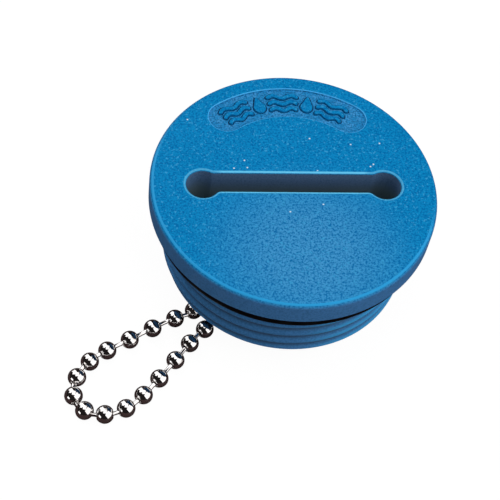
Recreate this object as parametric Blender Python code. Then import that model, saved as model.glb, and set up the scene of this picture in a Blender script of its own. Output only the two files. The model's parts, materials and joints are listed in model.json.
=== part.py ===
"""Deck fill cap: a screwed plastic cap with a key slot, its seal ring and its ball chain.

Frame: +Z is the screw axis, pointing out of the deck. The origin is the middle of the chain
lug's foot, and Z = 0 is the surface that the loose cap stands on. The key slot runs along X.
The chain is a closed loop through the lug's eye. It lies out along CHAIN_HEADING, and its
places are given as (out, across): out from the screw axis, and across to the loop's left.
"""

import math

import bmesh
import bpy
from mathutils import Matrix, Vector

MM = 0.001

# The cap's moulding
FLANGE_RADIUS = 30.0 * MM
FLANGE_THICKNESS = 5.4 * MM
CAP_HEIGHT = 22.4 * MM
RIM_HEIGHT = 4.4 * MM
TOP = RIM_HEIGHT + CAP_HEIGHT
FLANGE_UNDERSIDE = TOP - FLANGE_THICKNESS
TOP_EDGE_RADIUS = 1.0 * MM
LOWER_EDGE_CHAMFER = 0.2 * MM
PLATE_THICKNESS = 4.0 * MM
CEILING = TOP - PLATE_THICKNESS
NECK_RADIUS = 25.4 * MM
HOLLOW_RADIUS = 22.7 * MM
CAP_SEGMENTS = 48

# The thread: one start, right-handed, with broad rounded crests
THREAD_PITCH = 3.0 * MM
THREAD_CREST_RADIUS = 26.5 * MM
THREAD_DEPTH = 1.3 * MM
THREAD_PHASE = 2.17 * MM
THREAD_TOP = FLANGE_UNDERSIDE - 4.6 * MM
THREAD_ROWS_PER_PITCH = 5
CREST_BREADTH = 0.6
RIM_CHAMFER = 0.4 * MM

# The key slot and the pocket that holds it
SLOT_HALF_SPACING = 19.0 * MM
SLOT_END_RADIUS = 3.5 * MM
SLOT_WIDTH = 4.7 * MM
SLOT_OFFSET = 0.55 * MM
SLOT_DEPTH = 10.0 * MM
POCKET_WALL = 2.0 * MM

# The arched panel sunk into the top face
PANEL_RADIUS = 22.35 * MM
PANEL_WIDTH = 8.0 * MM
PANEL_HALF_ANGLE = math.radians(36.1)
PANEL_DEPTH = 0.35 * MM

# The seal ring, a standard section stretched over the neck, and the flange's seat outside it
SEAL_SECTION = 3.53 * MM
SEAL_GAP = 0.3 * MM
SEAT_INNER_RADIUS = NECK_RADIUS + SEAL_GAP + SEAL_SECTION + 0.07 * MM
SEAL_RELIEF = 0.2 * MM

# The ball chain: hollow beads on dumbbell links
BEAD_RADIUS = 1.9 * MM
BEAD_WALL = 0.22 * MM
BEAD_HOLE_RADIUS = 0.68 * MM
PIVOT_FROM_BEAD = math.sqrt((BEAD_RADIUS - BEAD_WALL / 2) ** 2 - BEAD_HOLE_RADIUS**2)
LINK_HEAD_SPACING = 3.4 * MM
LINK_HEAD_RADIUS = 0.76 * MM
LINK_HEAD_HALF_WIDTH = 0.2 * MM
LINK_ROD_RADIUS = 0.45 * MM

# The lug under the pocket, and the eye that the chain runs through
EYE_HEIGHT = 3.8 * MM
EYE_RADIUS = 2.6 * MM
LUG_WIDTH = 9.4 * MM
LUG_EYE_THICKNESS = 1.2 * MM
LUG_FOOT_THICKNESS = 3.0 * MM
LUG_STEM_THICKNESS = 3.2 * MM
LUG_FOOT_HEIGHT = 1.0 * MM
LUG_STEM_HEIGHT = 7.8 * MM

# The beads' places as (out, across) in millimetres, from the eye out along one strand,
# round the far end and back along the other
CHAIN_HEADING = math.radians(-140)
BEAD_PLACES_MM = (
    (0.52, -2.80), (3.23, -6.45), (7.52, -7.97), (11.99, -7.01), (16.05, -4.55),
    (20.30, -2.30), (25.02, -1.34), (29.41, -2.40), (34.65, -3.64), (40.12, -4.65),
    (45.37, -5.68), (49.80, -5.99), (54.13, -4.85), (57.36, -2.00), (57.82, 2.02),
    (55.31, 5.36), (51.17, 7.12), (46.51, 7.13), (41.53, 6.33), (36.11, 5.25),
    (31.11, 4.18), (26.37, 3.68), (21.75, 4.42), (17.08, 5.78), (12.09, 7.74),
    (7.50, 8.06), (3.22, 6.46), (0.52, 2.80),
)
BEAD_COUNT = len(BEAD_PLACES_MM)
SETTLING_ROUNDS = 40

# The loop lies on the surface out here, and rises to the eye inside the cap
RISE_FROM = 26.0 * MM
RISE_TO = 12.0 * MM

# The connector that closes the loop over two beads
CONNECTOR_BEAD = 23
CONNECTOR_PITCH = 5.4 * MM
CONNECTOR_CLEARANCE = 0.15 * MM
CONNECTOR_WALL = 0.3 * MM
CONNECTOR_END_HOLE = 0.95 * MM
CONNECTOR_SLIT = math.radians(40)

# Where the loop folds up off the surface: one bead on each strand, the first pair at the rim
FIRST_FOLD_BEADS = (6, 21)
FOLD_COUNT = 5


def cleared_scene():
    for item in list(bpy.data.objects):
        bpy.data.objects.remove(item, do_unlink=True)


def material(name, colour, roughness, metallic=0.0):
    made = bpy.data.materials.new(name)
    made.use_nodes = True
    shader = made.node_tree.nodes["Principled BSDF"]
    shader.inputs["Base Color"].default_value = (*colour, 1.0)
    shader.inputs["Roughness"].default_value = roughness
    shader.inputs["Metallic"].default_value = metallic
    return made


def mesh_from(name, bm, sharp_degrees=35):
    """A smooth-shaded mesh of the bmesh, with its faces pointing out."""
    bmesh.ops.recalc_face_normals(bm, faces=bm.faces)
    mesh = bpy.data.meshes.new(name)
    bm.to_mesh(mesh)
    bm.free()
    mesh.shade_smooth()
    mesh.set_sharp_from_angle(angle=math.radians(sharp_degrees))
    return mesh


def placed(name, mesh, finish, frame=None, parent=None):
    """An object of this mesh in the scene, at the frame and under the parent empty."""
    item = bpy.data.objects.new(name, mesh)
    if finish is not None and not mesh.materials:
        mesh.materials.append(finish)
    bpy.context.scene.collection.objects.link(item)
    if parent is not None:
        item.parent = parent
        item.matrix_parent_inverse = parent.matrix_world.inverted()
    item.matrix_world = frame if frame is not None else Matrix.Identity(4)
    return item


def pivot(name, position, direction=(0, 0, 1), parent=None):
    """An empty on a joint's axis, its Z along the axis."""
    empty = bpy.data.objects.new(name, None)
    empty.empty_display_size = 4 * MM
    bpy.context.scene.collection.objects.link(empty)
    if parent is not None:
        empty.parent = parent
        empty.matrix_parent_inverse = parent.matrix_world.inverted()
    empty.matrix_world = frame_at(position, direction)
    bpy.context.view_layer.update()
    return empty


def frame_at(position, direction):
    turn = Vector(direction).to_track_quat("Z", "Y").to_matrix().to_4x4()
    return Matrix.Translation(position) @ turn


def lathe(bm, rows, segments, sweep=math.tau):
    """Turns a closed outline about Z. Each row is (radius or radius-of-angle, height)."""
    closed = math.isclose(sweep, math.tau)
    columns = segments if closed else segments + 1
    rings = []
    for radius, height in rows:
        if radius == 0:
            rings.append([bm.verts.new((0, 0, height))] * columns)
            continue
        ring = []
        for column in range(columns):
            angle = sweep * column / segments
            reach = radius(angle) if callable(radius) else radius
            ring.append(bm.verts.new((reach * math.cos(angle), reach * math.sin(angle), height)))
        rings.append(ring)
    for row, ring in enumerate(rings):
        following = rings[(row + 1) % len(rings)]
        for column in range(segments):
            beside = (column + 1) % columns
            corners = (ring[column], ring[beside], following[beside], following[column])
            corners = tuple(dict.fromkeys(corners))
            if len(corners) > 2:
                bm.faces.new(corners)
    if not closed:
        bm.faces.new([ring[0] for ring in rings])
        bm.faces.new([ring[-1] for ring in rings])


def arc(centre, radius, start, end, steps):
    """Points (x, y) round a circle, both ends included."""
    return [
        (
            centre[0] + radius * math.cos(start + (end - start) * step / steps),
            centre[1] + radius * math.sin(start + (end - start) * step / steps),
        )
        for step in range(steps + 1)
    ]


def slot_outline(end_radius, width, steps):
    """A straight slot, set a little towards the panel, with a round hole at each end."""
    upper = math.asin((width / 2 + SLOT_OFFSET) / end_radius)
    lower = math.asin((width / 2 - SLOT_OFFSET) / end_radius)
    right = arc((SLOT_HALF_SPACING, 0), end_radius, lower - math.pi, math.pi - upper, steps)
    return right + [(-x, y) for x, y in reversed(right)]


def panel_outline(end_steps, side_steps):
    """A band bent round the screw axis, with round ends, middle of the band at +Y."""
    half = PANEL_WIDTH / 2
    low = math.pi / 2 - PANEL_HALF_ANGLE
    high = math.pi / 2 + PANEL_HALF_ANGLE
    first = (PANEL_RADIUS * math.cos(low), PANEL_RADIUS * math.sin(low))
    last = (PANEL_RADIUS * math.cos(high), PANEL_RADIUS * math.sin(high))
    outer = arc((0, 0), PANEL_RADIUS + half, low, high, side_steps)
    inner = arc((0, 0), PANEL_RADIUS - half, high, low, side_steps)
    far_end = arc(last, half, high, high + math.pi, end_steps)
    near_end = arc(first, half, low + math.pi, low + math.tau, end_steps)
    return outer + far_end[1:-1] + inner + near_end[1:-1]


def prism(bm, outline, low, high):
    """The outline, in X and Y, drawn up from low to high."""
    floor = [bm.verts.new((x, y, low)) for x, y in outline]
    roof = [bm.verts.new((x, y, high)) for x, y in outline]
    bm.faces.new(floor)
    bm.faces.new(roof)
    for index, corner in enumerate(floor):
        beside = (index + 1) % len(floor)
        bm.faces.new((corner, floor[beside], roof[beside], roof[index]))


def helper(name, build, frame=None):
    """A hidden solid that a Boolean modifier uses."""
    bm = bmesh.new()
    build(bm)
    item = placed(name, mesh_from(name, bm), None, frame)
    item.hide_render = True
    item.display_type = "WIRE"
    return item


def combine(item, other, operation):
    modifier = item.modifiers.new(other.name, "BOOLEAN")
    modifier.operation = operation
    modifier.solver = "EXACT"
    modifier.object = other


def thread_radius(height):
    """The screw surface's radius round the skirt at one height."""
    below_top = (THREAD_TOP - height) / THREAD_PITCH
    fade = max(0.0, min(1.0, 1.0 + below_top))

    def radius(angle):
        turn = (height - THREAD_PHASE) / THREAD_PITCH - angle / math.tau
        crest = (0.5 + 0.5 * math.cos(math.tau * turn)) ** CREST_BREADTH
        return THREAD_CREST_RADIUS - THREAD_DEPTH * (1 - crest * fade)

    return radius


def cap_rows():
    """The turned outline of the cap, from the middle of its top round to its ceiling."""
    edge = arc((0, 0), TOP_EDGE_RADIUS, math.pi / 2, 0, 3)
    corner = (FLANGE_RADIUS - TOP_EDGE_RADIUS, TOP - TOP_EDGE_RADIUS)
    rows = [(0, TOP)]
    rows += [(corner[0] + x, corner[1] + y) for x, y in edge]
    rows.append((FLANGE_RADIUS, FLANGE_UNDERSIDE + LOWER_EDGE_CHAMFER))
    rows.append((FLANGE_RADIUS - LOWER_EDGE_CHAMFER, FLANGE_UNDERSIDE))
    rows.append((SEAT_INNER_RADIUS, FLANGE_UNDERSIDE))
    rows.append((SEAT_INNER_RADIUS, FLANGE_UNDERSIDE + SEAL_RELIEF))
    rows.append((NECK_RADIUS, FLANGE_UNDERSIDE + SEAL_RELIEF))
    thread_bottom = RIM_HEIGHT + RIM_CHAMFER
    thread_start = THREAD_TOP + THREAD_PITCH
    count = round((thread_start - thread_bottom) / THREAD_PITCH * THREAD_ROWS_PER_PITCH)
    for row in range(count + 1):
        height = thread_start + (thread_bottom - thread_start) * row / count
        rows.append((thread_radius(height), height))
    rows.append((THREAD_CREST_RADIUS - THREAD_DEPTH, RIM_HEIGHT))
    rows.append((HOLLOW_RADIUS, RIM_HEIGHT))
    rows.append((HOLLOW_RADIUS, CEILING))
    rows.append((0, CEILING))
    return rows


def lug_section():
    """The lug cut across its width: half its thickness against its height."""
    foot = LUG_FOOT_THICKNESS / 2
    thin = LUG_EYE_THICKNESS / 2
    stem = LUG_STEM_THICKNESS / 2
    top = TOP - SLOT_DEPTH - POCKET_WALL / 2
    half = [
        (foot, 0),
        (foot, LUG_FOOT_HEIGHT),
        (thin, LUG_FOOT_HEIGHT + foot - thin),
        (thin, LUG_STEM_HEIGHT - stem + thin),
        (stem, LUG_STEM_HEIGHT),
        (stem, top),
    ]
    return half + [(-x, y) for x, y in reversed(half)]


def cap_body(finish):
    bm = bmesh.new()
    lathe(bm, cap_rows(), CAP_SEGMENTS)
    body = placed("cap_body", mesh_from("cap_body", bm), finish)
    pocket_floor = TOP - SLOT_DEPTH - POCKET_WALL
    pocket_outline = slot_outline(
        SLOT_END_RADIUS + POCKET_WALL, SLOT_WIDTH + 2 * POCKET_WALL, 10
    )
    pocket = helper(
        "pocket_form",
        lambda form: prism(form, pocket_outline, pocket_floor, CEILING + POCKET_WALL / 2),
    )
    across = Matrix.Rotation(CHAIN_HEADING + math.pi / 2, 4, "Z")
    on_edge = Matrix.Rotation(math.pi / 2, 4, "X")
    lug = helper(
        "lug_form",
        lambda form: prism(form, lug_section(), -LUG_WIDTH / 2, LUG_WIDTH / 2),
        across @ on_edge,
    )
    eye = helper(
        "eye_cutter",
        lambda form: prism(
            form, arc((0, 0), EYE_RADIUS, 0, math.tau * 15 / 16, 15), -5 * MM, 5 * MM
        ),
        frame_at((0, 0, EYE_HEIGHT), (-math.sin(CHAIN_HEADING), math.cos(CHAIN_HEADING), 0)),
    )
    slot = helper(
        "slot_cutter",
        lambda form: prism(
            form, slot_outline(SLOT_END_RADIUS, SLOT_WIDTH, 10), TOP - SLOT_DEPTH, TOP + MM
        ),
    )
    panel = helper(
        "panel_cutter",
        lambda form: prism(form, panel_outline(8, 16), TOP - PANEL_DEPTH, TOP + MM),
    )
    combine(body, pocket, "UNION")
    combine(body, lug, "UNION")
    combine(body, eye, "DIFFERENCE")
    combine(body, slot, "DIFFERENCE")
    combine(body, panel, "DIFFERENCE")
    return body


def seal_ring(finish):
    half = SEAL_SECTION / 2
    middle = NECK_RADIUS + SEAL_GAP + half
    height = FLANGE_UNDERSIDE - SEAL_GAP - half
    bm = bmesh.new()
    section = arc((middle, height), half, 0, math.tau * 9 / 10, 9)
    lathe(bm, section, 40)
    return placed("seal_ring", mesh_from("seal_ring", bm, 60), finish)


def chain_height(out):
    """The beads lie on the surface, and rise to the eye inside the cap."""
    part = max(0.0, min(1.0, (RISE_FROM - out) / (RISE_FROM - RISE_TO)))
    return BEAD_RADIUS + (EYE_HEIGHT - BEAD_RADIUS) * part * part * (3 - 2 * part)


def world_point(out, across):
    heading = Vector((math.cos(CHAIN_HEADING), math.sin(CHAIN_HEADING), 0))
    left = Vector((-heading.y, heading.x, 0))
    return heading * out + left * across + Vector((0, 0, chain_height(out)))


def bead_centres():
    """The bead centres round the loop. The eye is halfway between the last and the first."""
    return [world_point(out * MM, across * MM) for out, across in BEAD_PLACES_MM]


def link_ends(centres, axes, link):
    """The two hole centres that a link passes through."""
    following = (link + 1) % BEAD_COUNT
    start = centres[link] + axes[link] * PIVOT_FROM_BEAD
    end = centres[following] - axes[following] * PIVOT_FROM_BEAD
    return start, end


def bead_axes(centres):
    """Each bead's hole axis: settled halfway between the directions of its two links."""
    joined = (centres[CONNECTOR_BEAD + 1] - centres[CONNECTOR_BEAD]).normalized()
    axes = [
        (centres[(index + 1) % BEAD_COUNT] - centres[index - 1]).normalized()
        for index in range(BEAD_COUNT)
    ]
    for _ in range(SETTLING_ROUNDS):
        axes[CONNECTOR_BEAD] = joined
        axes[CONNECTOR_BEAD + 1] = joined
        ways = []
        for link in range(BEAD_COUNT):
            start, end = link_ends(centres, axes, link)
            ways.append((end - start).normalized())
        axes = [
            (axes[index] * 4 + ways[index] + ways[index - 1]).normalized()
            for index in range(BEAD_COUNT)
        ]
    axes[CONNECTOR_BEAD] = joined
    axes[CONNECTOR_BEAD + 1] = joined
    return axes


def bead_mesh():
    """A hollow ball with a hole at each end of Z."""
    rows = []
    for radius, steps, way in ((BEAD_RADIUS, 5, 1), (BEAD_RADIUS - BEAD_WALL, 4, -1)):
        edge = math.asin(BEAD_HOLE_RADIUS / radius)
        for step in range(steps + 1):
            angle = edge + (math.pi - 2 * edge) * step / steps
            rows.append((radius * math.sin(angle), way * radius * math.cos(angle)))
    bm = bmesh.new()
    lathe(bm, rows, 10)
    return mesh_from("chain_bead", bm, 50)


def link_mesh():
    """A rod with a head at each end, along Z."""
    head = LINK_HEAD_SPACING / 2
    half = [
        (0, head + LINK_HEAD_HALF_WIDTH),
        (LINK_HEAD_RADIUS, head),
        (LINK_ROD_RADIUS, head - LINK_HEAD_HALF_WIDTH),
    ]
    rows = half + [(radius, -height) for radius, height in reversed(half)]
    bm = bmesh.new()
    lathe(bm, rows, 8)
    return mesh_from("chain_link", bm, 50)


def connector_mesh():
    """A sleeve over two beads, with end walls, end holes and a slit all along one side."""
    inner = BEAD_RADIUS + CONNECTOR_CLEARANCE
    outer = inner + CONNECTOR_WALL
    reach = CONNECTOR_PITCH / 2 + inner
    end = reach + CONNECTOR_WALL
    rows = [
        (CONNECTOR_END_HOLE, end),
        (outer - CONNECTOR_WALL, end),
        (outer, reach),
        (outer, -reach),
        (outer - CONNECTOR_WALL, -end),
        (CONNECTOR_END_HOLE, -end),
        (CONNECTOR_END_HOLE, -reach),
        (inner, -reach),
        (inner, reach),
        (CONNECTOR_END_HOLE, reach),
    ]
    bm = bmesh.new()
    lathe(bm, rows, 14, math.tau - CONNECTOR_SLIT)
    bmesh.ops.rotate(
        bm, verts=bm.verts, cent=(0, 0, 0), matrix=Matrix.Rotation(CONNECTOR_SLIT / 2, 3, "Z")
    )
    return mesh_from("chain_connector", bm)


def fold_pivots(centres, axes, fold):
    """The two hole centres, one on each strand, that the loop's outer part turns on."""
    first = FIRST_FOLD_BEADS[0] + fold
    second = FIRST_FOLD_BEADS[1] - fold
    return link_ends(centres, axes, first)[0], link_ends(centres, axes, second - 1)[1]


def carrier(index, empties, is_link):
    """The empty that carries this bead or link: the inner loop's, or the last fold inside it."""
    holder = empties[0]
    for fold in range(FOLD_COUNT):
        first = FIRST_FOLD_BEADS[0] + fold
        second = FIRST_FOLD_BEADS[1] - fold
        low = first if is_link else first + 1
        if low <= index <= second - 1:
            holder = empties[fold + 1]
    return holder


def chain(finish):
    centres = bead_centres()
    axes = bead_axes(centres)
    swing = pivot("chain_swing", (0, 0, EYE_HEIGHT))
    empties = [swing]
    for fold in range(FOLD_COUNT):
        out_going, returning = fold_pivots(centres, axes, fold)
        middle = (out_going + returning) / 2
        name = f"chain_fold_{fold + 1}"
        empties.append(pivot(name, middle, out_going - returning, empties[-1]))
    bead = bead_mesh()
    link = link_mesh()
    for index, centre in enumerate(centres):
        placed(
            f"chain_bead_{index + 1:02d}",
            bead,
            finish,
            frame_at(centre, axes[index]),
            carrier(index, empties, False),
        )
        if index == CONNECTOR_BEAD:
            continue
        start, end = link_ends(centres, axes, index)
        placed(
            f"chain_link_{index + 1:02d}",
            link,
            finish,
            frame_at((start + end) / 2, end - start),
            carrier(index, empties, True),
        )
    middle = (centres[CONNECTOR_BEAD] + centres[CONNECTOR_BEAD + 1]) / 2
    spin = pivot("connector_spin", middle, axes[CONNECTOR_BEAD], swing)
    placed("chain_connector", connector_mesh(), finish, spin.matrix_world.copy(), spin)


def main():
    cleared_scene()
    cap_body(material("blue_plastic", (0.010, 0.195, 0.465), 0.55))
    seal_ring(material("black_rubber", (0.012, 0.012, 0.014), 0.6))
    chain(material("bright_chain", (0.62, 0.60, 0.58), 0.18, 1.0))


main()
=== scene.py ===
"""Deck fill cap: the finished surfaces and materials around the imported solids.

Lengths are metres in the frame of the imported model: Z is the screw axis, Z = 0 is the surface
that the loose cap stands on, the key slot runs along X and the sunk panel is on the +Y side.
"""

import json
import math
import random

import bmesh
import bpy
import numpy as np
from mathutils import Matrix, Vector


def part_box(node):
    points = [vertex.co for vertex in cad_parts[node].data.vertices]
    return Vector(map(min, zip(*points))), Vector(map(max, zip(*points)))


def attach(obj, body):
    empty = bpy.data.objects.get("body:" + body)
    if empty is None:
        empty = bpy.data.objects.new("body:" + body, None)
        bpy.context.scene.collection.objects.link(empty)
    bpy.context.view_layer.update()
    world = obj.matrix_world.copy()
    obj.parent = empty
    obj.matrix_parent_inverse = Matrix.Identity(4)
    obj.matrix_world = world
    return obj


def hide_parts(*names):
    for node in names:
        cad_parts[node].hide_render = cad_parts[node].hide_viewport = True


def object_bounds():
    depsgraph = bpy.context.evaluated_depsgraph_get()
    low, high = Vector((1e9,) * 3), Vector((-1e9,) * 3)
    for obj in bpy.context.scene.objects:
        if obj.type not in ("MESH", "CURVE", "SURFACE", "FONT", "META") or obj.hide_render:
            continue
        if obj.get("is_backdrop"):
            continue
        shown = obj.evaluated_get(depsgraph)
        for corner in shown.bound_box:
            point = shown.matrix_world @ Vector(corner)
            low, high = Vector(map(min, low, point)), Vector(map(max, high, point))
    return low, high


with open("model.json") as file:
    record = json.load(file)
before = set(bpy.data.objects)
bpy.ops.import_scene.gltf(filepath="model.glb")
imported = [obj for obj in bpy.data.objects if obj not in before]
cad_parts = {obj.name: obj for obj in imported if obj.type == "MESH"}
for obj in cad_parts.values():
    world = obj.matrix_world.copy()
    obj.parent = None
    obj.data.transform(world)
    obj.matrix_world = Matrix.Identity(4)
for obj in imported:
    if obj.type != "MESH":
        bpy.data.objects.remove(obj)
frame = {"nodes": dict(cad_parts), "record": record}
CAD_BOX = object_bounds()

MM = 0.001

# The cap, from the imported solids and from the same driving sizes
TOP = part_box("cap_body")[1].z
FLANGE_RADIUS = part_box("cap_body")[1].x
FLANGE_THICKNESS = 5.4 * MM
UNDERSIDE = TOP - FLANGE_THICKNESS
RIM_HEIGHT = 4.4 * MM
CEILING = TOP - 4.0 * MM
NECK_RADIUS = 25.4 * MM
HOLLOW_RADIUS = 22.7 * MM
TOP_EDGE_RADIUS = 1.0 * MM
LOWER_EDGE_RADIUS = 0.2 * MM
SEAT_INNER_RADIUS = 29.3 * MM
SEAL_RELIEF = 0.2 * MM
CAP_COLUMNS = 192

# The thread
THREAD_PITCH = 3.0 * MM
THREAD_CREST_RADIUS = 26.5 * MM
THREAD_DEPTH = 1.3 * MM
THREAD_PHASE = 2.17 * MM
THREAD_TOP = UNDERSIDE - 4.6 * MM
THREAD_ROWS_PER_PITCH = 22
CREST_BREADTH = 0.6
RIM_EDGE = 0.3 * MM

# The key slot and its pocket
SLOT_HALF_SPACING = 19.0 * MM
SLOT_END_RADIUS = 3.5 * MM
SLOT_HALF_WIDTH = 2.35 * MM
SLOT_OFFSET = 0.55 * MM
SLOT_CORNER_RADIUS = 1.3 * MM
SLOT_EDGE_WIDTH = 0.70 * MM
SLOT_EDGE_DEPTH = 0.35 * MM
SLOT_DEPTH = 10.0 * MM
POCKET_WALL = 2.0 * MM

# The sunk panel and the generic water marks that stand on its floor
PANEL_RADIUS = 22.35 * MM
PANEL_HALF_WIDTH = 3.8 * MM
PANEL_HALF_ANGLE = math.radians(36.1)
PANEL_DEPTH = 0.35 * MM
PANEL_EDGE_WIDTH = 0.35 * MM
PANEL_EDGE_DEPTH = 0.33 * MM
MARK_SPACING = math.radians(13.6)
MARK_SHIFT = math.radians(-2.0)
MARK_STROKE = 0.80 * MM
MARK_HEIGHT = 0.33 * MM
MARK_EDGE = 0.08 * MM
GROOVE_WIDTH = 0.26 * MM
GROOVE_DEPTH = 0.14 * MM
WAVE_LENGTH = 5.8 * MM
WAVE_CREST = 0.40 * MM
WAVE_SPACING = 1.75 * MM

# Pale specks on the top face
SPECKS_MM = (
    (-21.6, 17.1), (14.9, 21.5), (15.9, 20.3), (19.2, 11.2), (-10.1, 6.2), (-9.6, 4.3),
    (17.2, 5.5), (16.5, 4.9), (-12.4, 4.1), (5.5, -5.1), (4.2, 12.3), (12.9, 10.8),
    (-1.5, -7.0), (5.1, 3.6),
)
SPECK_RADIUS = 0.17 * MM

# The lug that the chain runs through
CHAIN_HEADING = math.radians(-140)
EYE_HEIGHT = 3.8 * MM
EYE_RADIUS = 2.6 * MM
LUG_WIDTH = 9.4 * MM
LUG_ROUND_EDGE = 0.3 * MM
# Half the lug's thickness against its height, from its foot to its straight stem
LUG_SECTION_MM = (
    (1.3, 0.0), (1.5, 0.2), (1.5, 1.0), (1.0, 1.6), (0.6, 2.0), (0.6, 6.7), (1.0, 7.1), (1.6, 7.8),
)
# How much wider the eye is at each distance from the lug's middle
EYE_SECTION_MM = ((-5, 0), (-0.6, 0.12), (-0.35, 0), (0.35, 0), (0.6, 0.12), (5, 0))
EYE_COLUMNS = 40

# The seal ring
SEAL_RADIUS = 3.53 * MM / 2
SEAL_GAP = 0.3 * MM
SEAL_FLASH = 0.03 * MM

# The ball chain
BEAD_RADIUS = 1.9 * MM
BEAD_WALL = 0.22 * MM
BEAD_HOLE_RADIUS = 0.68 * MM
BEAD_SEAM_DEPTH = 0.05 * MM
LINK_ROD_RADIUS = 0.45 * MM
LINK_HEAD_RADIUS = 0.76 * MM
LINK_HEAD_SPACING = 3.4 * MM
CONNECTOR_ENDS = ("chain_bead_24", "chain_bead_25")
CONNECTOR_GAP = 0.15 * MM
CONNECTOR_WALL = 0.3 * MM
CONNECTOR_END_HOLE = 0.95 * MM
CONNECTOR_SLIT = math.radians(40)

# The camera, by its direction to the middle of the top face
CAMERA_AZIMUTH = math.radians(11.565)
CAMERA_ELEVATION = math.radians(54.855)
CAMERA_ROLL = math.radians(9.625)
CAMERA_DISTANCE = 265.0 * MM
CAMERA_LENS_MM = 92.34
# How far the middle of the top face stands right of and above the middle of the picture
FRAMED_RIGHT = 9.261 * MM
FRAMED_UP = 13.558 * MM

# The moulding's colours
TOP_BLUE = ((0.001, 0.250, 0.572), (0.006, 0.304, 0.680))
DARK_GRAIN = (0.000, 0.148, 0.432)
PALE_GRAIN_AND_GLINT = (0.048, 0.380, 0.715)
# The middle and reach of a greyer patch on the top, a painted reflection
REFLECTION_PATCH_MM = (1.5, -17.0)
REFLECTION_PATCH_REACH = (5.0 * MM, 25.0 * MM)
REFLECTION_PATCH_SHARE = 0.85
REFLECTION_PATCH_BLUE = (0.073, 0.362, 0.706)
# The side of the rim whose edge carries the painted highlight
HIGHLIGHT_TOWARDS = (-0.35, -0.94, 0.0)
HIGHLIGHT_FROM = (-7.0 * MM, 5.0 * MM)
# The side of the thread whose crests are painted paler, as light falls on them
LIT_CREST_TOWARDS = (0.87, -0.50, 0.0)
LIT_CREST_FROM = (13.0 * MM, 23.0 * MM)
LIT_CREST_BLUE = (0.055, 0.440, 0.880)
LIT_CREST_SHARE = 0.8
# Where the slot's straight edges give way to its holes, and the holes' share of its painted highlight
SLOT_STRAIGHT_ENDS = (14.5 * MM, 16.5 * MM)
HOLE_HIGHLIGHT = 0.5
# The painted highlights on the edges of the rim, the slot and the panel, and the pale specks
RIM_HIGHLIGHT_BLUE = (0.030, 0.385, 0.800)
SLOT_HIGHLIGHT_BLUE = (0.150, 0.660, 1.000)
PANEL_HIGHLIGHT_BLUE = (0.070, 0.480, 0.950)
NO_HIGHLIGHT = (0.0, 0.0, 0.0)
PALE_SPECK = (0.75, 0.92, 0.98)
# The flange's side and the skirt
SIDE_BLUE = ((0.060, 0.225, 0.510), (0.075, 0.255, 0.580))
SIDE_GRAIN = (0.045, 0.180, 0.410)
# Painted shade in the roots of the thread, and how far it darkens them
THREAD_ROOT_SHADE = (0.050, 0.080, 0.120)
THREAD_ROOT_SHADE_SHARE = 0.85
# The slot's walls and their greyer lower part, the panel's floor, the marks, and the painted shade in
# the grooves round them
WALL_BLUE = ((0.085, 0.165, 0.300), (0.120, 0.215, 0.380))
SLOT_LOW_GREY = (0.150, 0.220, 0.250)
PANEL_BLUE = ((0.020, 0.285, 0.650), (0.070, 0.372, 0.770))
PANEL_GRAIN = (0.010, 0.125, 0.320)
MARK_BLUE = ((0.003, 0.150, 0.390), (0.008, 0.235, 0.560))
GROOVE_SHADE_BLUE = ((0.004, 0.035, 0.120), (0.010, 0.060, 0.170))

# The tint of the plastic's sheen, the rubber, and the chain's plate and its tarnish
PLASTIC_SHEEN = (0.2, 0.8, 1.0, 1.0)
RUBBER_BLACK = ((0.0015, 0.0016, 0.0020), (0.006, 0.006, 0.007))
BEAD_TINT = (0.80, 0.78, 0.77)
ROD_TINT = (0.84, 0.81, 0.80)
TARNISH = (0.80, 0.74, 0.68)

# The size of the plastic's mottle, grain, glints and fine texture
MOTTLE_SIZE = 9.0 * MM
GRAIN_SIZE = 0.42 * MM
GLINT_SIZE = 0.50 * MM
FINE_SIZE = 0.16 * MM

# The studio's cards: azimuth, elevation, width, height and radiance
CARDS = {
    "overhead": (84, 81.8, 0.52, 0.70, 1.45),
    "right_card": (-27, 31, 1.02, 1.00, 1.45),
    "back_left_card": (121, 32, 0.38, 0.80, 1.45),
    "back_left_upper_card": (148, 46, 0.30, 0.34, 1.45),
    "left_low_card": (-150, 6, 0.34, 0.26, 1.6),
}
LEFT_FILL = (-140, 35, 0.60, 0.60, 0.5)
ROOM = (0.014, 0.012, 0.012)
# The floor, as the chain mirrors it, as it lights the cap and as the camera sees it
FLOOR_MIRRORED = (0.055, 0.032, 0.032, 1.0)
FLOOR_BOUNCE = (0.30, 0.23, 0.23, 1.0)
FLOOR_PALE = (0.9, 0.9, 0.9, 1.0)
FLOOR_GLOW = 1.06
FLOOR_GLOW_SHARE = 0.90
FLOOR_HALF = 1.5

BODY_OF = {
    node: body for body, nodes in frame["record"]["behaviour"]["bodies"].items() for node in nodes
}


# ---------------------------------------------------------------- mesh building

def mesh_object(name, points, faces, finish=None, matrix=None):
    """A smooth-shaded mesh object, with its faces turned outwards."""
    bm = bmesh.new()
    corners = [bm.verts.new(point) for point in points]
    for face in faces:
        bm.faces.new([corners[index] for index in face])
    bmesh.ops.recalc_face_normals(bm, faces=bm.faces)
    mesh = bpy.data.meshes.new(name)
    bm.to_mesh(mesh)
    bm.free()
    mesh.shade_smooth()
    if finish is not None:
        mesh.materials.append(finish)
    item = bpy.data.objects.new(name, mesh)
    bpy.context.scene.collection.objects.link(item)
    if matrix is not None:
        item.matrix_world = matrix
    return item


def skin(loops, closed=False):
    """Quads between loops of equal length. The ends are capped unless the loops close."""
    count = len(loops[0])
    points = [point for loop in loops for point in loop]
    faces = []
    for row in range(len(loops) if closed else len(loops) - 1):
        here = row * count
        there = (row + 1) % len(loops) * count
        for column in range(count):
            beside = (column + 1) % count
            faces.append((here + column, here + beside, there + beside, there + column))
    if not closed:
        faces.append(tuple(range(count)))
        faces.append(tuple(range((len(loops) - 1) * count, len(loops) * count)))
    return points, faces


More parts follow.
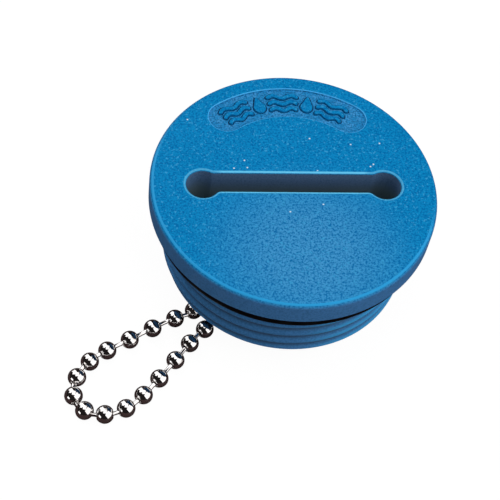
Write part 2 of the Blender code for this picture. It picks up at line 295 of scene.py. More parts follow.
def turned(rows, angles):
    """Loops about Z: each row is (radius or radius-of-angle, height)."""
    loops = []
    for radius, height in rows:
        loop = []
        for angle in angles:
            reach = radius(angle) if callable(radius) else radius
            loop.append((reach * math.cos(angle), reach * math.sin(angle), height))
        loops.append(loop)
    return loops


def even_angles(count):
    return [math.tau * step / count for step in range(count)]


def arc(centre, radius, start, end, steps):
    """Points (x, y) round a circle, both ends included."""
    return [
        (
            centre[0] + radius * math.cos(start + (end - start) * step / steps),
            centre[1] + radius * math.sin(start + (end - start) * step / steps),
        )
        for step in range(steps + 1)
    ]


def raised(outline, height):
    return [(x, y, height) for x, y in outline]


def grown(outline, by):
    """A smooth anticlockwise outline moved outwards."""
    points = np.array(outline)
    along = np.roll(points, -1, 0) - np.roll(points, 1, 0)
    along /= np.linalg.norm(along, axis=1)[:, None]
    outward = np.stack([along[:, 1], -along[:, 0]], 1)
    return (points + outward * by).tolist()


def applied(item):
    """The object's mesh with its modifiers applied."""
    graph = bpy.context.evaluated_depsgraph_get()
    mesh = bpy.data.meshes.new_from_object(item.evaluated_get(graph))
    item.modifiers.clear()
    item.data = mesh
    return item


def combined(item, tools):
    """Joins or cuts the object with each (tool, operation), and removes the tools."""
    for tool, operation in tools:
        modifier = item.modifiers.new(tool.name, "BOOLEAN")
        modifier.operation = operation
        modifier.solver = "EXACT"
        modifier.material_mode = "TRANSFER"
        modifier.object = tool
    applied(item)
    for tool, _ in tools:
        bpy.data.objects.remove(tool, do_unlink=True)
    return item


def even_shading(item):
    """Large flat faces keep their own normals where a small rounded edge meets them."""
    item.data.shade_smooth()
    item.data.set_sharp_from_angle(angle=math.radians(40))
    weighted = item.modifiers.new("weighted_normals", "WEIGHTED_NORMAL")
    weighted.keep_sharp = True
    return item


def standing_for(piece, slot, *nodes):
    """The piece rides on its nodes' body and takes their place."""
    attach(piece, BODY_OF[nodes[0]])
    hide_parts(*nodes)
    return piece


def middle_of(node):
    low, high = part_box(node)
    return (low + high) / 2


def axis_of(node):
    """A turned node's own axis: the way its points spread differently from the other two."""
    points = np.array([vertex.co for vertex in frame["nodes"][node].data.vertices])
    spread, ways = np.linalg.eigh(np.cov((points - points.mean(0)).T))
    odd = 0 if spread[1] - spread[0] > spread[2] - spread[1] else 2
    way = Vector(ways[:, odd])
    return way if way.x + way.y > 0 else -way


def frame_at(position, direction, roll=0.0):
    turn = Vector(direction).to_track_quat("Z", "Y").to_matrix().to_4x4()
    return Matrix.Translation(position) @ turn @ Matrix.Rotation(roll, 4, "Z")


# ---------------------------------------------------------------- materials

def new_material(name):
    """(material, its shader, its node tree)."""
    made = bpy.data.materials.new(name)
    made.use_nodes = True
    return made, made.node_tree.nodes["Principled BSDF"], made.node_tree


def add(tree, kind, inputs=None, **settings):
    """A node with its settings, and its inputs set to values or linked to sockets."""
    node = tree.nodes.new(kind)
    for name, value in settings.items():
        setattr(node, name, value)
    for name, value in (inputs or {}).items():
        if isinstance(value, bpy.types.NodeSocket):
            tree.links.new(value, node.inputs[name])
        else:
            node.inputs[name].default_value = value
    return node


def place_of(tree):
    return add(tree, "ShaderNodeTexCoord").outputs["Object"]


def noise(tree, place, size, detail=2.0, roughness=0.5):
    """Noise whose features are about this many metres across."""
    made = add(
        tree,
        "ShaderNodeTexNoise",
        {"Vector": place, "Scale": 1.0 / size, "Detail": detail, "Roughness": roughness},
    )
    return made.outputs["Fac"]


def ranged(tree, value, low, high, to_low, to_high):
    """The value mapped smoothly from one range to another."""
    made = add(
        tree,
        "ShaderNodeMapRange",
        {
            "Value": value,
            "From Min": low,
            "From Max": high,
            "To Min": to_low,
            "To Max": to_high,
        },
        interpolation_type="SMOOTHSTEP",
    )
    return made.outputs["Result"]


def mixed(tree, share, first, second):
    """Two colours, or a colour and a socket, mixed by a share."""
    made = tree.nodes.new("ShaderNodeMix")
    made.data_type = "RGBA"
    colour_a, colour_b = (s for s in made.inputs if s.type == "RGBA")
    for socket, value in ((made.inputs[0], share), (colour_a, first), (colour_b, second)):
        if isinstance(value, bpy.types.NodeSocket):
            tree.links.new(value, socket)
        elif isinstance(value, tuple):
            socket.default_value = (*value, 1.0)
        else:
            socket.default_value = value
    return next(s for s in made.outputs if s.type == "RGBA")


def blended(tree, share, first, second):
    """Two shaders mixed by a share."""
    made = add(tree, "ShaderNodeMixShader", {"Fac": share})
    tree.links.new(first, made.inputs[1])
    tree.links.new(second, made.inputs[2])
    return made.outputs[0]


def times(tree, first, second):
    made = add(tree, "ShaderNodeMath", operation="MULTIPLY")
    for socket, value in zip(made.inputs, (first, second)):
        if isinstance(value, bpy.types.NodeSocket):
            tree.links.new(value, socket)
        else:
            socket.default_value = value
    return made.outputs[0]


def along(tree, place, axis):
    return add(tree, "ShaderNodeSeparateXYZ", {"Vector": place}).outputs[axis]


def vectors(tree, operation, place, other=None):
    """A vector node on a place and a constant."""
    made = add(tree, "ShaderNodeVectorMath", operation=operation)
    tree.links.new(place, made.inputs[0])
    if other is not None:
        made.inputs[1].default_value = other
    return made.outputs


def distance_to(tree, place, x_mm, y_mm):
    """Distance from a point on the top face."""
    return vectors(tree, "DISTANCE", place, (x_mm * MM, y_mm * MM, TOP))["Value"]


def from_axis(tree, place):
    """Distance from the screw axis."""
    flat = vectors(tree, "MULTIPLY", place, (1.0, 1.0, 0.0))["Vector"]
    return vectors(tree, "LENGTH", flat)["Value"]


def specks(tree, place):
    """1 on each pale speck."""
    found = None
    for x, y in SPECKS_MM:
        near = distance_to(tree, place, x, y)
        if found is None:
            found = near
            continue
        nearer = add(tree, "ShaderNodeMath", operation="MINIMUM")
        tree.links.new(found, nearer.inputs[0])
        tree.links.new(near, nearer.inputs[1])
        found = nearer.outputs[0]
    return ranged(tree, found, SPECK_RADIUS * 0.6, SPECK_RADIUS * 1.4, 1.0, 0.0)


def reflection_patch(tree, place):
    """A share that falls away from the middle of the top's greyer patch, a painted reflection."""
    gap = distance_to(tree, place, *REFLECTION_PATCH_MM)
    return ranged(tree, gap, *REFLECTION_PATCH_REACH, REFLECTION_PATCH_SHARE, 0.0)


def towards(tree, place, way, low, high):
    """A share that grows from 0 to 1 between two distances along a direction."""
    reach = vectors(tree, "DOT_PRODUCT", place, way)["Value"]
    return ranged(tree, reach, low, high, 0.0, 1.0)


def highlight_side(tree, place):
    """1 on the side of the rim with the painted highlight on its edge, falling to 0 on the other."""
    return towards(tree, place, HIGHLIGHT_TOWARDS, *HIGHLIGHT_FROM)


def slot_highlight(tree, place):
    """A weaker painted highlight on the edge round the slot's holes than along its straight sides."""
    across = add(tree, "ShaderNodeMath", operation="ABSOLUTE")
    tree.links.new(along(tree, place, "X"), across.inputs[0])
    return ranged(tree, across.outputs[0], *SLOT_STRAIGHT_ENDS, 1.0, HOLE_HIGHLIGHT)


def moulded(name, deep, fades, highlight_to, highlight_blue, highlight_by_place=None, reflection_and_specks=False):
    """Matt blue plastic: the top's colour, a painted highlight on the edge and the deep colour below
    it.

    The two depths of the fade and the depth of the painted highlight are in millimetres. The painted
    highlight may differ by place. The finish of the top may also have the painted reflection patch and
    the pale specks.
    """
    made, shader, tree = new_material(name)
    place = place_of(tree)
    mottle = noise(tree, place, MOTTLE_SIZE, 3.0)
    grain = noise(tree, place, GRAIN_SIZE, 2.0, 0.75)
    fine = noise(tree, place, FINE_SIZE, 1.0)
    grained = ranged(tree, grain, 0.34, 0.60, 0.0, 1.0)
    glinting = ranged(tree, noise(tree, place, GLINT_SIZE, 1.0), 0.60, 0.74, 0.0, 0.9)

    depth = add(tree, "ShaderNodeMath", operation="SUBTRACT")
    depth.inputs[0].default_value = TOP
    tree.links.new(along(tree, place, "Z"), depth.inputs[1])
    depth = depth.outputs[0]
    lower = ranged(tree, depth, fades[0] * MM, fades[1] * MM, 0.0, 1.0)
    # A painted highlight on the rounded edges, in a band just below the top's level
    painted_highlight = times(
        tree,
        ranged(tree, depth, 0.004 * MM, 0.02 * MM, 0.0, 1.0),
        ranged(tree, depth, 0.6 * highlight_to * MM, highlight_to * MM, 1.0, 0.0),
    )

    top = mixed(tree, mottle, *TOP_BLUE)
    if reflection_and_specks:
        # Painted reflection: a greyer patch on the top
        top = mixed(tree, reflection_patch(tree, place), top, REFLECTION_PATCH_BLUE)
    if highlight_by_place:
        painted_highlight = times(tree, painted_highlight, highlight_by_place(tree, place))
    top = mixed(tree, grained, DARK_GRAIN, top)
    # Pale flecks: grain of the plastic and painted glints
    top = mixed(tree, glinting, top, PALE_GRAIN_AND_GLINT)
    own = deep(tree, place, mottle, grained)
    colour = mixed(tree, lower, top, own)
    # The painted highlight on the edges
    colour = mixed(tree, painted_highlight, colour, highlight_blue)
    if reflection_and_specks:
        colour = mixed(tree, specks(tree, place), colour, PALE_SPECK)
    tree.links.new(colour, shader.inputs["Base Color"])

    tree.links.new(ranged(tree, grain, 0.3, 0.7, 0.30, 0.44), shader.inputs["Roughness"])
    shader.inputs["Specular IOR Level"].default_value = 0.10
    shader.inputs["Specular Tint"].default_value = PLASTIC_SHEEN
    bump = add(
        tree,
        "ShaderNodeBump",
        {"Height": fine, "Strength": 0.30, "Distance": 0.03 * MM},
    )
    coarse = add(
        tree,
        "ShaderNodeBump",
        {
            "Height": grain,
            "Strength": 0.35,
            "Distance": 0.05 * MM,
            "Normal": bump.outputs["Normal"],
        },
    )
    tree.links.new(coarse.outputs["Normal"], shader.inputs["Normal"])
    return made


def side_colour(tree, place, mottle, grained):
    """The flange's side and the skirt, with painted light on one side's crests and painted shade in the
    roots of the thread.
    """
    side = mixed(tree, mottle, *SIDE_BLUE)
    side = mixed(tree, grained, SIDE_GRAIN, side)
    reach = from_axis(tree, place)
    crest = ranged(
        tree,
        reach,
        THREAD_CREST_RADIUS - 0.40 * THREAD_DEPTH,
        THREAD_CREST_RADIUS - 0.02 * THREAD_DEPTH,
        0.0,
        1.0,
    )
    height = along(tree, place, "Z")
    below = ranged(tree, height, UNDERSIDE - MM, UNDERSIDE - MM / 2, LIT_CREST_SHARE, 0.0)
    # Painted light: paler crests on one side of the thread
    lit_crests = times(tree, times(tree, crest, below), towards(tree, place, LIT_CREST_TOWARDS, *LIT_CREST_FROM))
    side = mixed(tree, lit_crests, side, LIT_CREST_BLUE)
    root = ranged(
        tree,
        reach,
        THREAD_CREST_RADIUS - 0.85 * THREAD_DEPTH,
        THREAD_CREST_RADIUS - 0.25 * THREAD_DEPTH,
        1.0,
        0.0,
    )
    outside = ranged(tree, reach, HOLLOW_RADIUS + 0.5 * MM, HOLLOW_RADIUS + MM, 0.0, 1.0)
    low = ranged(tree, height, UNDERSIDE - 3 * MM, UNDERSIDE - 2 * MM, THREAD_ROOT_SHADE_SHARE, 0.0)
    # Painted shade in the roots of the thread
    root_shade = times(tree, times(tree, root, outside), low)
    return mixed(tree, root_shade, side, THREAD_ROOT_SHADE)


def slot_colour(tree, place, mottle, grained):
    """The slot's dull walls, greyer low down."""
    dull = mixed(tree, grained, *WALL_BLUE)
    low = ranged(tree, along(tree, place, "Z"), TOP - 7.0 * MM, TOP - 2.5 * MM, 1.0, 0.0)
    return mixed(tree, low, dull, SLOT_LOW_GREY)


def panel_colour(tree, place, mottle, grained):
    haze = ranged(tree, noise(tree, place, 1.6 * MM, 3.0, 0.7), 0.42, 0.68, 0.0, 1.0)
    return mixed(tree, grained, PANEL_GRAIN, mixed(tree, haze, *PANEL_BLUE))


def mark_colour(tree, place, mottle, grained):
    return mixed(tree, grained, *MARK_BLUE)


# Painted shade: the grooves round the marks are dark
def groove_shade_colour(tree, place, mottle, grained):
    return mixed(tree, grained, *GROOVE_SHADE_BLUE)


def black_rubber():
    made, shader, tree = new_material("black_rubber")
    place = place_of(tree)
    bloom = ranged(tree, noise(tree, place, 2.2 * MM, 4.0), 0.45, 0.75, 0.0, 1.0)
    colour = mixed(tree, bloom, *RUBBER_BLACK)
    tree.links.new(colour, shader.inputs["Base Color"])
    tree.links.new(ranged(tree, bloom, 0.0, 1.0, 0.42, 0.62), shader.inputs["Roughness"])
    shader.inputs["Specular IOR Level"].default_value = 0.15
    bump = add(
        tree,
        "ShaderNodeBump",
        {"Height": noise(tree, place, 0.15 * MM), "Strength": 0.2, "Distance": 0.02 * MM},
    )
    tree.links.new(bump.outputs["Normal"], shader.inputs["Normal"])
    return made


def bright_plate(name, tint):
    """Bright plate with faint tarnish and a slightly uneven surface."""
    made, shader, tree = new_material(name)
    place = place_of(tree)
    tarnish = ranged(tree, noise(tree, place, 1.1 * MM, 3.0), 0.5, 0.8, 0.0, 1.0)
    warm = tuple(channel * share for channel, share in zip(tint, TARNISH))
    tree.links.new(mixed(tree, tarnish, tint, warm), shader.inputs["Base Color"])
    shader.inputs["Metallic"].default_value = 1.0
    tree.links.new(ranged(tree, tarnish, 0.0, 1.0, 0.07, 0.16), shader.inputs["Roughness"])
    bump = add(
        tree,
        "ShaderNodeBump",
        {"Height": noise(tree, place, 0.5 * MM), "Strength": 0.10, "Distance": 0.02 * MM},
    )
    tree.links.new(bump.outputs["Normal"], shader.inputs["Normal"])
    return made


# ---------------------------------------------------------------- the cap's moulding

def keyhole(end_radius, half_width, corner):
    """Two round holes joined by an offset slot, with a rounded corner where it meets each."""
    reach = end_radius + corner
    below = half_width - SLOT_OFFSET + corner
    above = half_width + SLOT_OFFSET + corner
    dip = math.asin(below / reach)
    rise = math.asin(above / reach)
    low_at = (SLOT_HALF_SPACING - reach * math.cos(dip), -below)
    high_at = (SLOT_HALF_SPACING - reach * math.cos(rise), above)
    hole_at = (SLOT_HALF_SPACING, 0.0)
    right = arc(low_at, corner, math.pi / 2, dip, 6)
    right += arc(hole_at, end_radius, dip - math.pi, math.pi - rise, 40)[1:-1]
    right += arc(high_at, corner, -rise, -math.pi / 2, 6)
    return right + [(-x, y) for x, y in reversed(right)]


def slot_outline(grow=0.0):
    return keyhole(SLOT_END_RADIUS + grow, SLOT_HALF_WIDTH + grow, SLOT_CORNER_RADIUS - grow)


def pocket_outline(grow=0.0):
    wall = POCKET_WALL + grow
    return keyhole(SLOT_END_RADIUS + wall, SLOT_HALF_WIDTH + wall, SLOT_CORNER_RADIUS - grow)


def panel_outline(grow=0.0):
    """A band bent round the screw axis with round ends, its middle at +Y."""
    half = PANEL_HALF_WIDTH + grow
    low = math.pi / 2 - PANEL_HALF_ANGLE
    high = math.pi / 2 + PANEL_HALF_ANGLE
    last = (PANEL_RADIUS * math.cos(high), PANEL_RADIUS * math.sin(high))
    first = (PANEL_RADIUS * math.cos(low), PANEL_RADIUS * math.sin(low))
    outline = arc((0, 0), PANEL_RADIUS + half, low, high, 64)
    outline += arc(last, half, high, high + math.pi, 24)[1:-1]
    outline += arc((0, 0), PANEL_RADIUS - half, high, low, 48)
    outline += arc(first, half, low + math.pi, low + math.tau, 24)[1:-1]
    return outline


def flared(name, outline_of, floor, edge, finish, steps=6):
    """A cutter that leaves a rounded edge (width, depth) where it comes out of the top face."""
    edge_width, edge_depth = edge
    above = 0.001 * MM
    loops = [raised(outline_of(0.0), floor)]
    for step in range(steps + 1):
        turn = math.pi / 2 * step / steps
        height = TOP + above - edge_depth + edge_depth * math.sin(turn)
        loops.append(raised(outline_of(edge_width * (1 - math.cos(turn))), height))
    loops.append(raised(outline_of(edge_width), TOP + MM))
    return mesh_object(name, *skin(loops), finish)


def wave_stroke(height):
    """A wavy stroke with round ends, about its own middle."""
    half = MARK_STROKE / 2

    def point(share):
        rise = WAVE_CREST * math.sin(math.tau * 1.5 * share)
        return Vector(((share - 0.5) * WAVE_LENGTH, height + rise))

    def side(share):
        slope = (point(share + 0.01) - point(share - 0.01)).normalized()
        return Vector((-slope.y, slope.x)) * half

    shares = [step / 30 for step in range(31)]
    outline = [tuple(point(share) - side(share)) for share in shares]
    outline += round_end(point(1.0), -side(1.0))
    outline += [tuple(point(share) + side(share)) for share in reversed(shares)]
    outline += round_end(point(0.0), side(0.0))
    return outline


def round_end(centre, start):
    """The points of a half circle, anticlockwise from the start, without its two ends."""
    turns = [math.pi * step / 8 for step in range(1, 8)]
    across = Vector((-start.y, start.x))
    return [tuple(centre + start * math.cos(turn) + across * math.sin(turn)) for turn in turns]


def drop_stroke():
    """A water drop: a large circle below and a small one above, joined by their tangents."""
    large, low = 1.35 * MM, -0.75 * MM
    small, high = 0.24 * MM, 1.90 * MM
    lean = math.asin((large - small) / (high - low))
    outline = arc((0, high), small, lean, math.pi - lean, 10)
    outline += arc((0, low), large, math.pi - lean, math.tau + lean, 36)
    return outline


def bent(outline, angle):
    """An outline about its own middle, moved onto the panel's arc."""
    points = []
    for x, y in outline:
        turn = math.pi / 2 - angle - x / PANEL_RADIUS
        reach = PANEL_RADIUS + y
        points.append((reach * math.cos(turn), reach * math.sin(turn)))
    return points


def mark_strokes():
    """(stroke, angle along the panel) for the waves and drops, in place of any word."""
    for place in range(-2, 3):
        angle = MARK_SHIFT + place * MARK_SPACING
        if place % 2:
            yield drop_stroke(), angle
        else:
            for row in (-1, 0, 1):
                yield wave_stroke(row * WAVE_SPACING), angle


def many(name, forms, finish):
    """One object from several (points, faces) that don't touch."""
    points = []
    faces = []
    for more_points, more_faces in forms:
        faces += [tuple(index + len(points) for index in face) for face in more_faces]
        points += more_points
    return mesh_object(name, points, faces, finish)


def mark_grooves(finish):
    """A fine groove round the foot of each mark."""
    floor = TOP - PANEL_DEPTH
    forms = []
    for stroke, angle in mark_strokes():
        outline = bent(grown(stroke, GROOVE_WIDTH), angle)
        forms.append(skin([raised(outline, floor - GROOVE_DEPTH), raised(outline, floor + MM)]))
    return many("mark_grooves", forms, finish)


def water_marks(finish):
    """The raised marks, from under their grooves to their softened top edges."""
    floor = TOP - PANEL_DEPTH
    crown = floor + MARK_HEIGHT
    forms = []
    for stroke, angle in mark_strokes():
        foot = bent(grown(stroke, MARK_EDGE / 2), angle)
        forms.append(
            skin(
                [
                    raised(foot, floor - GROOVE_DEPTH - MARK_EDGE),
                    raised(foot, floor),
                    raised(bent(stroke, angle), crown - MARK_EDGE),
                    raised(bent(grown(stroke, -MARK_EDGE / 3), angle), crown - MARK_EDGE / 3),
                    raised(bent(grown(stroke, -MARK_EDGE), angle), crown),
                ]
            )
        )
    return many("water_marks", forms, finish)


def thread_radius(height):
    """The screw surface's radius round the skirt at one height."""
    fade = max(0.0, min(1.0, 1.0 + (THREAD_TOP - height) / THREAD_PITCH))

    def radius(angle):
        turn = (height - THREAD_PHASE) / THREAD_PITCH - angle / math.tau
        crest = (0.5 + 0.5 * math.cos(math.tau * turn)) ** CREST_BREADTH
        return THREAD_CREST_RADIUS - THREAD_DEPTH * (1 - crest * fade)

    return radius


def cap_rows():
    """The turned outline, from the edge of the top round to the edge of the ceiling."""
    edge = FLANGE_RADIUS - TOP_EDGE_RADIUS
    rows = [
        (edge + x, TOP - TOP_EDGE_RADIUS + y)
        for x, y in arc((0, 0), TOP_EDGE_RADIUS, math.pi / 2, 0, 8)
    ]
    lower = (FLANGE_RADIUS - LOWER_EDGE_RADIUS, UNDERSIDE + LOWER_EDGE_RADIUS)
    rows += arc(lower, LOWER_EDGE_RADIUS, 0, -math.pi / 2, 4)
    rows.append((SEAT_INNER_RADIUS, UNDERSIDE))
    rows.append((SEAT_INNER_RADIUS, UNDERSIDE + SEAL_RELIEF))
    rows.append((NECK_RADIUS, UNDERSIDE + SEAL_RELIEF))
    start = THREAD_TOP + THREAD_PITCH
    end = RIM_HEIGHT + RIM_EDGE
    count = round((start - end) / THREAD_PITCH * THREAD_ROWS_PER_PITCH)
    for row in range(count + 1):
        height = start + (end - start) * row / count
        rows.append((thread_radius(height), height))
    root = THREAD_CREST_RADIUS - THREAD_DEPTH
    rows.append((root, RIM_HEIGHT))
    rows.append((HOLLOW_RADIUS + RIM_EDGE / 2, RIM_HEIGHT))
    rows.append((HOLLOW_RADIUS, RIM_HEIGHT + RIM_EDGE / 2))
    rows.append((HOLLOW_RADIUS, CEILING))
    return rows


def lug_outline():
    """The lug cut across its width, as (distance from its middle, height)."""
    top = TOP - SLOT_DEPTH - POCKET_WALL / 2
    half = [(x * MM, y * MM) for x, y in LUG_SECTION_MM]
    half.append((half[-1][0], top))
    return half + [(-x, y) for x, y in reversed(half)]


def lug_form():
    half = LUG_WIDTH / 2
    loops = []
    for across, shrink in (
        (-half, LUG_ROUND_EDGE),
        (-half + LUG_ROUND_EDGE, 0.0),
        (half - LUG_ROUND_EDGE, 0.0),
        (half, LUG_ROUND_EDGE),
    ):
        loops.append([(x * (1 - shrink / (2 * MM)), y, across) for x, y in lug_outline()])
    turn = Matrix.Rotation(CHAIN_HEADING + math.pi / 2, 4, "Z") @ Matrix.Rotation(math.pi / 2, 4, "X")
    return mesh_object("lug_form", *skin(loops), matrix=turn)


def eye_cutter():
    """The eye, wider at its two faces so that the links don't bear on an edge."""
    loops = []
    last = EYE_COLUMNS - 1
    for out, wider in EYE_SECTION_MM:
        ring = arc((0, 0), EYE_RADIUS + wider * MM, 0, math.tau * last / EYE_COLUMNS, last)
        loops.append(raised(ring, out * MM))
    across = (-math.sin(CHAIN_HEADING), math.cos(CHAIN_HEADING), 0)
    return mesh_object("eye_cutter", *skin(loops), matrix=frame_at((0, 0, EYE_HEIGHT), across))


def pocket_form():
    """The walls and floor round the key slot, hanging from the ceiling of the hollow."""
    floor = TOP - SLOT_DEPTH - POCKET_WALL
    edge = 0.4 * MM
    loops = [
        raised(pocket_outline(-edge), floor),
        raised(pocket_outline(-edge * 0.3), floor + edge * 0.3),
        raised(pocket_outline(), floor + edge),
        raised(pocket_outline(), CEILING + POCKET_WALL / 2),
    ]
    return mesh_object("pocket_form", *skin(loops))


def cap_body():
    """The cap's moulding. Each cut leaves its own finish on the faces it makes."""
    # The slot, panel and rim finishes paint a highlight on their rounded edges
    slot_finish = moulded(
        "slot_moulding", slot_colour, (0.20, 0.42), 0.20, SLOT_HIGHLIGHT_BLUE, slot_highlight
    )
    panel_finish = moulded("panel_moulding", panel_colour, (0.02, 0.20), 0.16, PANEL_HIGHLIGHT_BLUE)
    # The grooves' finish is painted shade
    groove_shade_finish = moulded("groove_painted_shade", groove_shade_colour, (0.0, 0.1), 0.0, NO_HIGHLIGHT)
    mark_finish = moulded("mark_moulding", mark_colour, (0.0, 0.1), 0.0, NO_HIGHLIGHT)
    cap = mesh_object(
        "cap_body_fine",
        *skin(turned(cap_rows(), even_angles(CAP_COLUMNS))),
        moulded("blue_moulding", side_colour, (0.14, 0.85), 0.26, RIM_HIGHLIGHT_BLUE, highlight_side, True),
    )
    slot_floor = TOP - SLOT_DEPTH
    panel_floor = TOP - PANEL_DEPTH
    slot_edge = (SLOT_EDGE_WIDTH, SLOT_EDGE_DEPTH)
    panel_edge = (PANEL_EDGE_WIDTH, PANEL_EDGE_DEPTH)
    slot = flared("slot_cutter", slot_outline, slot_floor, slot_edge, slot_finish)
    panel = flared("panel_cutter", panel_outline, panel_floor, panel_edge, panel_finish)
    combined(
        cap,
        [
            (pocket_form(), "UNION"),
            (lug_form(), "UNION"),
            (eye_cutter(), "DIFFERENCE"),
            (slot, "DIFFERENCE"),
            (panel, "DIFFERENCE"),
            (mark_grooves(groove_shade_finish), "DIFFERENCE"),
            (water_marks(mark_finish), "UNION"),
        ],
    )
    even_shading(cap)
    return standing_for(cap, "cap_plastic", "cap_body")


# ---------------------------------------------------------------- the seal ring

def seal_ring(finish):
    """A moulded ring with the fine flash line that its mould leaves round the outside."""
    middle = NECK_RADIUS + SEAL_GAP + SEAL_RADIUS
    height = UNDERSIDE - SEAL_GAP - SEAL_RADIUS
    section = []
    for step in range(48):
        turn = math.tau * step / 48
        flash = SEAL_FLASH if step == 0 else 0.0
        section.append(
            (
                middle + (SEAL_RADIUS + flash) * math.cos(turn),
                height + SEAL_RADIUS * math.sin(turn),
            )
        )
    loops = turned(section, even_angles(CAP_COLUMNS))
    ring = mesh_object("seal_ring_fine", *skin(loops, closed=True), finish)
    return standing_for(ring, "seal_rubber", "seal_ring")


# ---------------------------------------------------------------- the ball chain

def bead_mesh(finish):
    """A hollow ball rolled from strip: a curled lip at each hole and a seam between them."""
    lip = BEAD_WALL / 2
    hole_angle = math.asin((BEAD_HOLE_RADIUS + lip) / (BEAD_RADIUS - lip))
    outside = arc((0, 0), BEAD_RADIUS, math.pi / 2 - hole_angle, hole_angle - math.pi / 2, 22)
    inside = arc((0, 0), BEAD_RADIUS - BEAD_WALL, hole_angle - math.pi / 2, math.pi / 2 - hole_angle, 8)
    way = math.pi / 2 - hole_angle
    centre = ((BEAD_RADIUS - lip) * math.cos(way), (BEAD_RADIUS - lip) * math.sin(way))
    upper_lip = arc(centre, lip, way + math.pi, way + math.tau, 6)[1:-1]
    lower_lip = [(x, -y) for x, y in reversed(upper_lip)]
    section = outside + lower_lip + inside + upper_lip
    seam = math.radians(2.2)
    angles = [-2 * seam, -seam, 0.0, seam, 2 * seam]
    rest = 30
    step = (math.tau - 4 * seam) / rest
    angles += [2 * seam + step * count for count in range(1, rest)]
    loops = []
    for radius, height in section:
        loop = []
        for index, angle in enumerate(angles):
            outer = math.hypot(radius, height) > BEAD_RADIUS - BEAD_WALL / 4
            sunk = BEAD_SEAM_DEPTH if index == 2 and outer else 0.0
            reach = radius - sunk
            loop.append((reach * math.cos(angle), reach * math.sin(angle), height))
        loops.append(loop)
    return mesh_object("bead", *skin(loops, closed=True), finish)


def link_mesh(finish):
    """A drawn rod, slightly waisted, with a pressed head inside each bead."""
    head = LINK_HEAD_SPACING / 2
    rows = [
        (0.25 * MM, head + 0.20 * MM),
        (0.55 * MM, head + 0.14 * MM),
        (LINK_HEAD_RADIUS - 0.04 * MM, head + 0.04 * MM),
        (LINK_HEAD_RADIUS - 0.03 * MM, head - 0.05 * MM),
        (0.56 * MM, head - 0.13 * MM),
        (LINK_ROD_RADIUS, head - 0.24 * MM),
        (LINK_ROD_RADIUS - 0.02 * MM, 0.45 * MM),
        (LINK_ROD_RADIUS - 0.04 * MM, 0.0),
    ]
    rows += [(radius, -height) for radius, height in reversed(rows[:-1])]
    return mesh_object("link", *skin(turned(rows, even_angles(20))), finish)


def connector_mesh(finish, pitch):
    """A sleeve that snaps over two beads, open along one side, with curled-in ends."""
    inner = BEAD_RADIUS + CONNECTOR_GAP
    outer = inner + CONNECTOR_WALL
    reach = pitch / 2 + inner
    shoulder = 0.7 * MM
    outside = arc((outer - shoulder, reach + CONNECTOR_WALL - shoulder), shoulder, 0, math.pi / 2, 5)
    inside = arc((inner - shoulder, reach - shoulder), shoulder, math.pi / 2, 0, 5)
    half = outside + [(CONNECTOR_END_HOLE, reach + CONNECTOR_WALL)]
    half += [(CONNECTOR_END_HOLE, reach)] + inside
    section = half + [(radius, -height) for radius, height in reversed(half)]
    columns = 40
    sweep = math.tau - CONNECTOR_SLIT
    angles = [CONNECTOR_SLIT / 2 + sweep * step / columns for step in range(columns + 1)]
    loops = [
        [(radius * math.cos(angle), radius * math.sin(angle), height) for radius, height in section]
        for angle in angles
    ]
    return mesh_object("connector", *skin(loops), finish)


def chain(plate, rod_plate):
    """A fine bead, link or connector in the place of each of the chain's solids."""
    rolls = random.Random(7)
    bead = bead_mesh(plate)
    link = link_mesh(rod_plate)
    for node in sorted(BODY_OF):
        if node.startswith("chain_bead"):
            shape = bead
        elif node.startswith("chain_link"):
            shape = link
        else:
            continue
        piece = bpy.data.objects.new(node + "_fine", shape.data)
        bpy.context.scene.collection.objects.link(piece)
        piece.matrix_world = frame_at(middle_of(node), axis_of(node), rolls.uniform(0, math.tau))
        standing_for(piece, "chain_metal", node)
    first, second = (middle_of(node) for node in CONNECTOR_ENDS)
    sleeve = connector_mesh(plate, (second - first).length)
    sleeve.name = "chain_connector_fine"
    sleeve.matrix_world = frame_at((first + second) / 2, second - first)
    standing_for(sleeve, "chain_metal", "chain_connector")
    for shape in (bead, link):
        bpy.data.objects.remove(shape, do_unlink=True)


# ---------------------------------------------------------------- stage, light and camera

def heading(azimuth_degrees, elevation_degrees):
    """The way to a place in the studio: azimuth from +X towards +Y, and elevation."""
    azimuth = math.radians(azimuth_degrees)
    elevation = math.radians(elevation_degrees)
    flat = math.cos(elevation)
    return Vector((flat * math.cos(azimuth), flat * math.sin(azimuth), math.sin(elevation)))


def softbox(name, azimuth, elevation, width, height, radiance, distance=0.7):
    """A soft white rectangle that faces the origin."""
    light = bpy.data.lights.new(name, "AREA")
    light.shape = "RECTANGLE"
    light.size = width
    light.size_y = height
    light.energy = radiance * math.pi * width * height
    lamp = bpy.data.objects.new(name, light)
    way = heading(azimuth, elevation)
    lamp.location = way * distance
    lamp.rotation_euler = way.to_track_quat("Z", "Y").to_euler()
    lamp.visible_camera = False
    bpy.context.scene.collection.objects.link(lamp)
    return lamp


def studio():
    """White cards above, to the right and to the left, which the beads mirror, and a weak fill."""
    for name, card in CARDS.items():
        softbox(name, *card)
    fill = softbox("left_fill", *LEFT_FILL)
    fill.visible_glossy = False
    world = bpy.data.worlds.new("studio")
    bpy.context.scene.world = world
    world.use_nodes = True
    tree = world.node_tree
    seen = add(tree, "ShaderNodeLightPath").outputs["Is Camera Ray"]
    room = mixed(tree, seen, ROOM, (1.0, 1.0, 1.0))
    tree.links.new(room, tree.nodes["Background"].inputs["Color"])
    bpy.context.scene.view_settings.view_transform = "Standard"


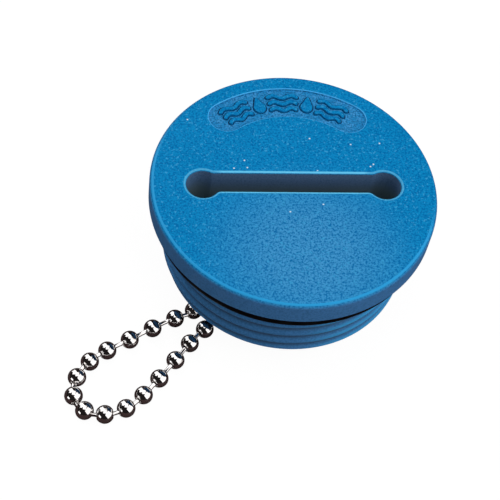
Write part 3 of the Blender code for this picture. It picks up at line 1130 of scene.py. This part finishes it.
def floor():
    """A pale floor, which the chain mirrors darker."""
    made, shader, tree = new_material("pale_floor")
    shader.inputs["Base Color"].default_value = FLOOR_MIRRORED
    shader.inputs["Roughness"].default_value = 0.8
    shader.inputs["Specular IOR Level"].default_value = 0.1
    bounce = add(tree, "ShaderNodeBsdfDiffuse", {"Color": FLOOR_BOUNCE})
    pale = add(tree, "ShaderNodeBsdfDiffuse", {"Color": FLOOR_PALE})
    glow = add(tree, "ShaderNodeEmission", {"Color": (1.0, 1.0, 1.0, 1.0), "Strength": FLOOR_GLOW})
    rays = add(tree, "ShaderNodeLightPath").outputs
    seen = blended(tree, FLOOR_GLOW_SHARE, pale.outputs[0], glow.outputs[0])
    lit = blended(tree, rays["Is Glossy Ray"], bounce.outputs[0], shader.outputs[0])
    either = blended(tree, rays["Is Camera Ray"], lit, seen)
    tree.links.new(either, tree.nodes["Material Output"].inputs["Surface"])
    corners = [(FLOOR_HALF * x, FLOOR_HALF * y) for x, y in ((-1, -1), (1, -1), (1, 1), (-1, 1))]
    sheet = mesh_object("floor", raised(corners, -0.05 * MM), [(0, 1, 2, 3)], made)
    sheet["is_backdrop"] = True


def camera():
    """The view, by its direction, roll, distance and framing."""
    forward = Vector(
        (
            math.sin(CAMERA_AZIMUTH) * math.cos(CAMERA_ELEVATION),
            math.cos(CAMERA_AZIMUTH) * math.cos(CAMERA_ELEVATION),
            -math.sin(CAMERA_ELEVATION),
        )
    )
    level = forward.cross(Vector((0, 0, 1))).normalized()
    upright = level.cross(forward)
    right = level * math.cos(CAMERA_ROLL) + upright * math.sin(CAMERA_ROLL)
    up = upright * math.cos(CAMERA_ROLL) - level * math.sin(CAMERA_ROLL)
    data = bpy.data.cameras.new("camera")
    data.lens = CAMERA_LENS_MM
    data.sensor_width = 36.0
    data.clip_start = 0.01
    item = bpy.data.objects.new("camera", data)
    place = Vector((0, 0, TOP)) - forward * CAMERA_DISTANCE - right * FRAMED_RIGHT - up * FRAMED_UP
    axes = Matrix((right, up, -forward)).transposed().to_4x4()
    item.matrix_world = Matrix.Translation(place) @ axes
    bpy.context.scene.collection.objects.link(item)
    bpy.context.scene.camera = item


camera()
studio()
floor()
cap_body()
seal_ring(black_rubber())
chain(bright_plate("chain_plate", BEAD_TINT), bright_plate("link_plate", ROD_TINT))

bpy.context.view_layer.update()
boxes = {"cad": CAD_BOX, "visual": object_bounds()}
{name: [list(corner) for corner in box] for name, box in boxes.items()}
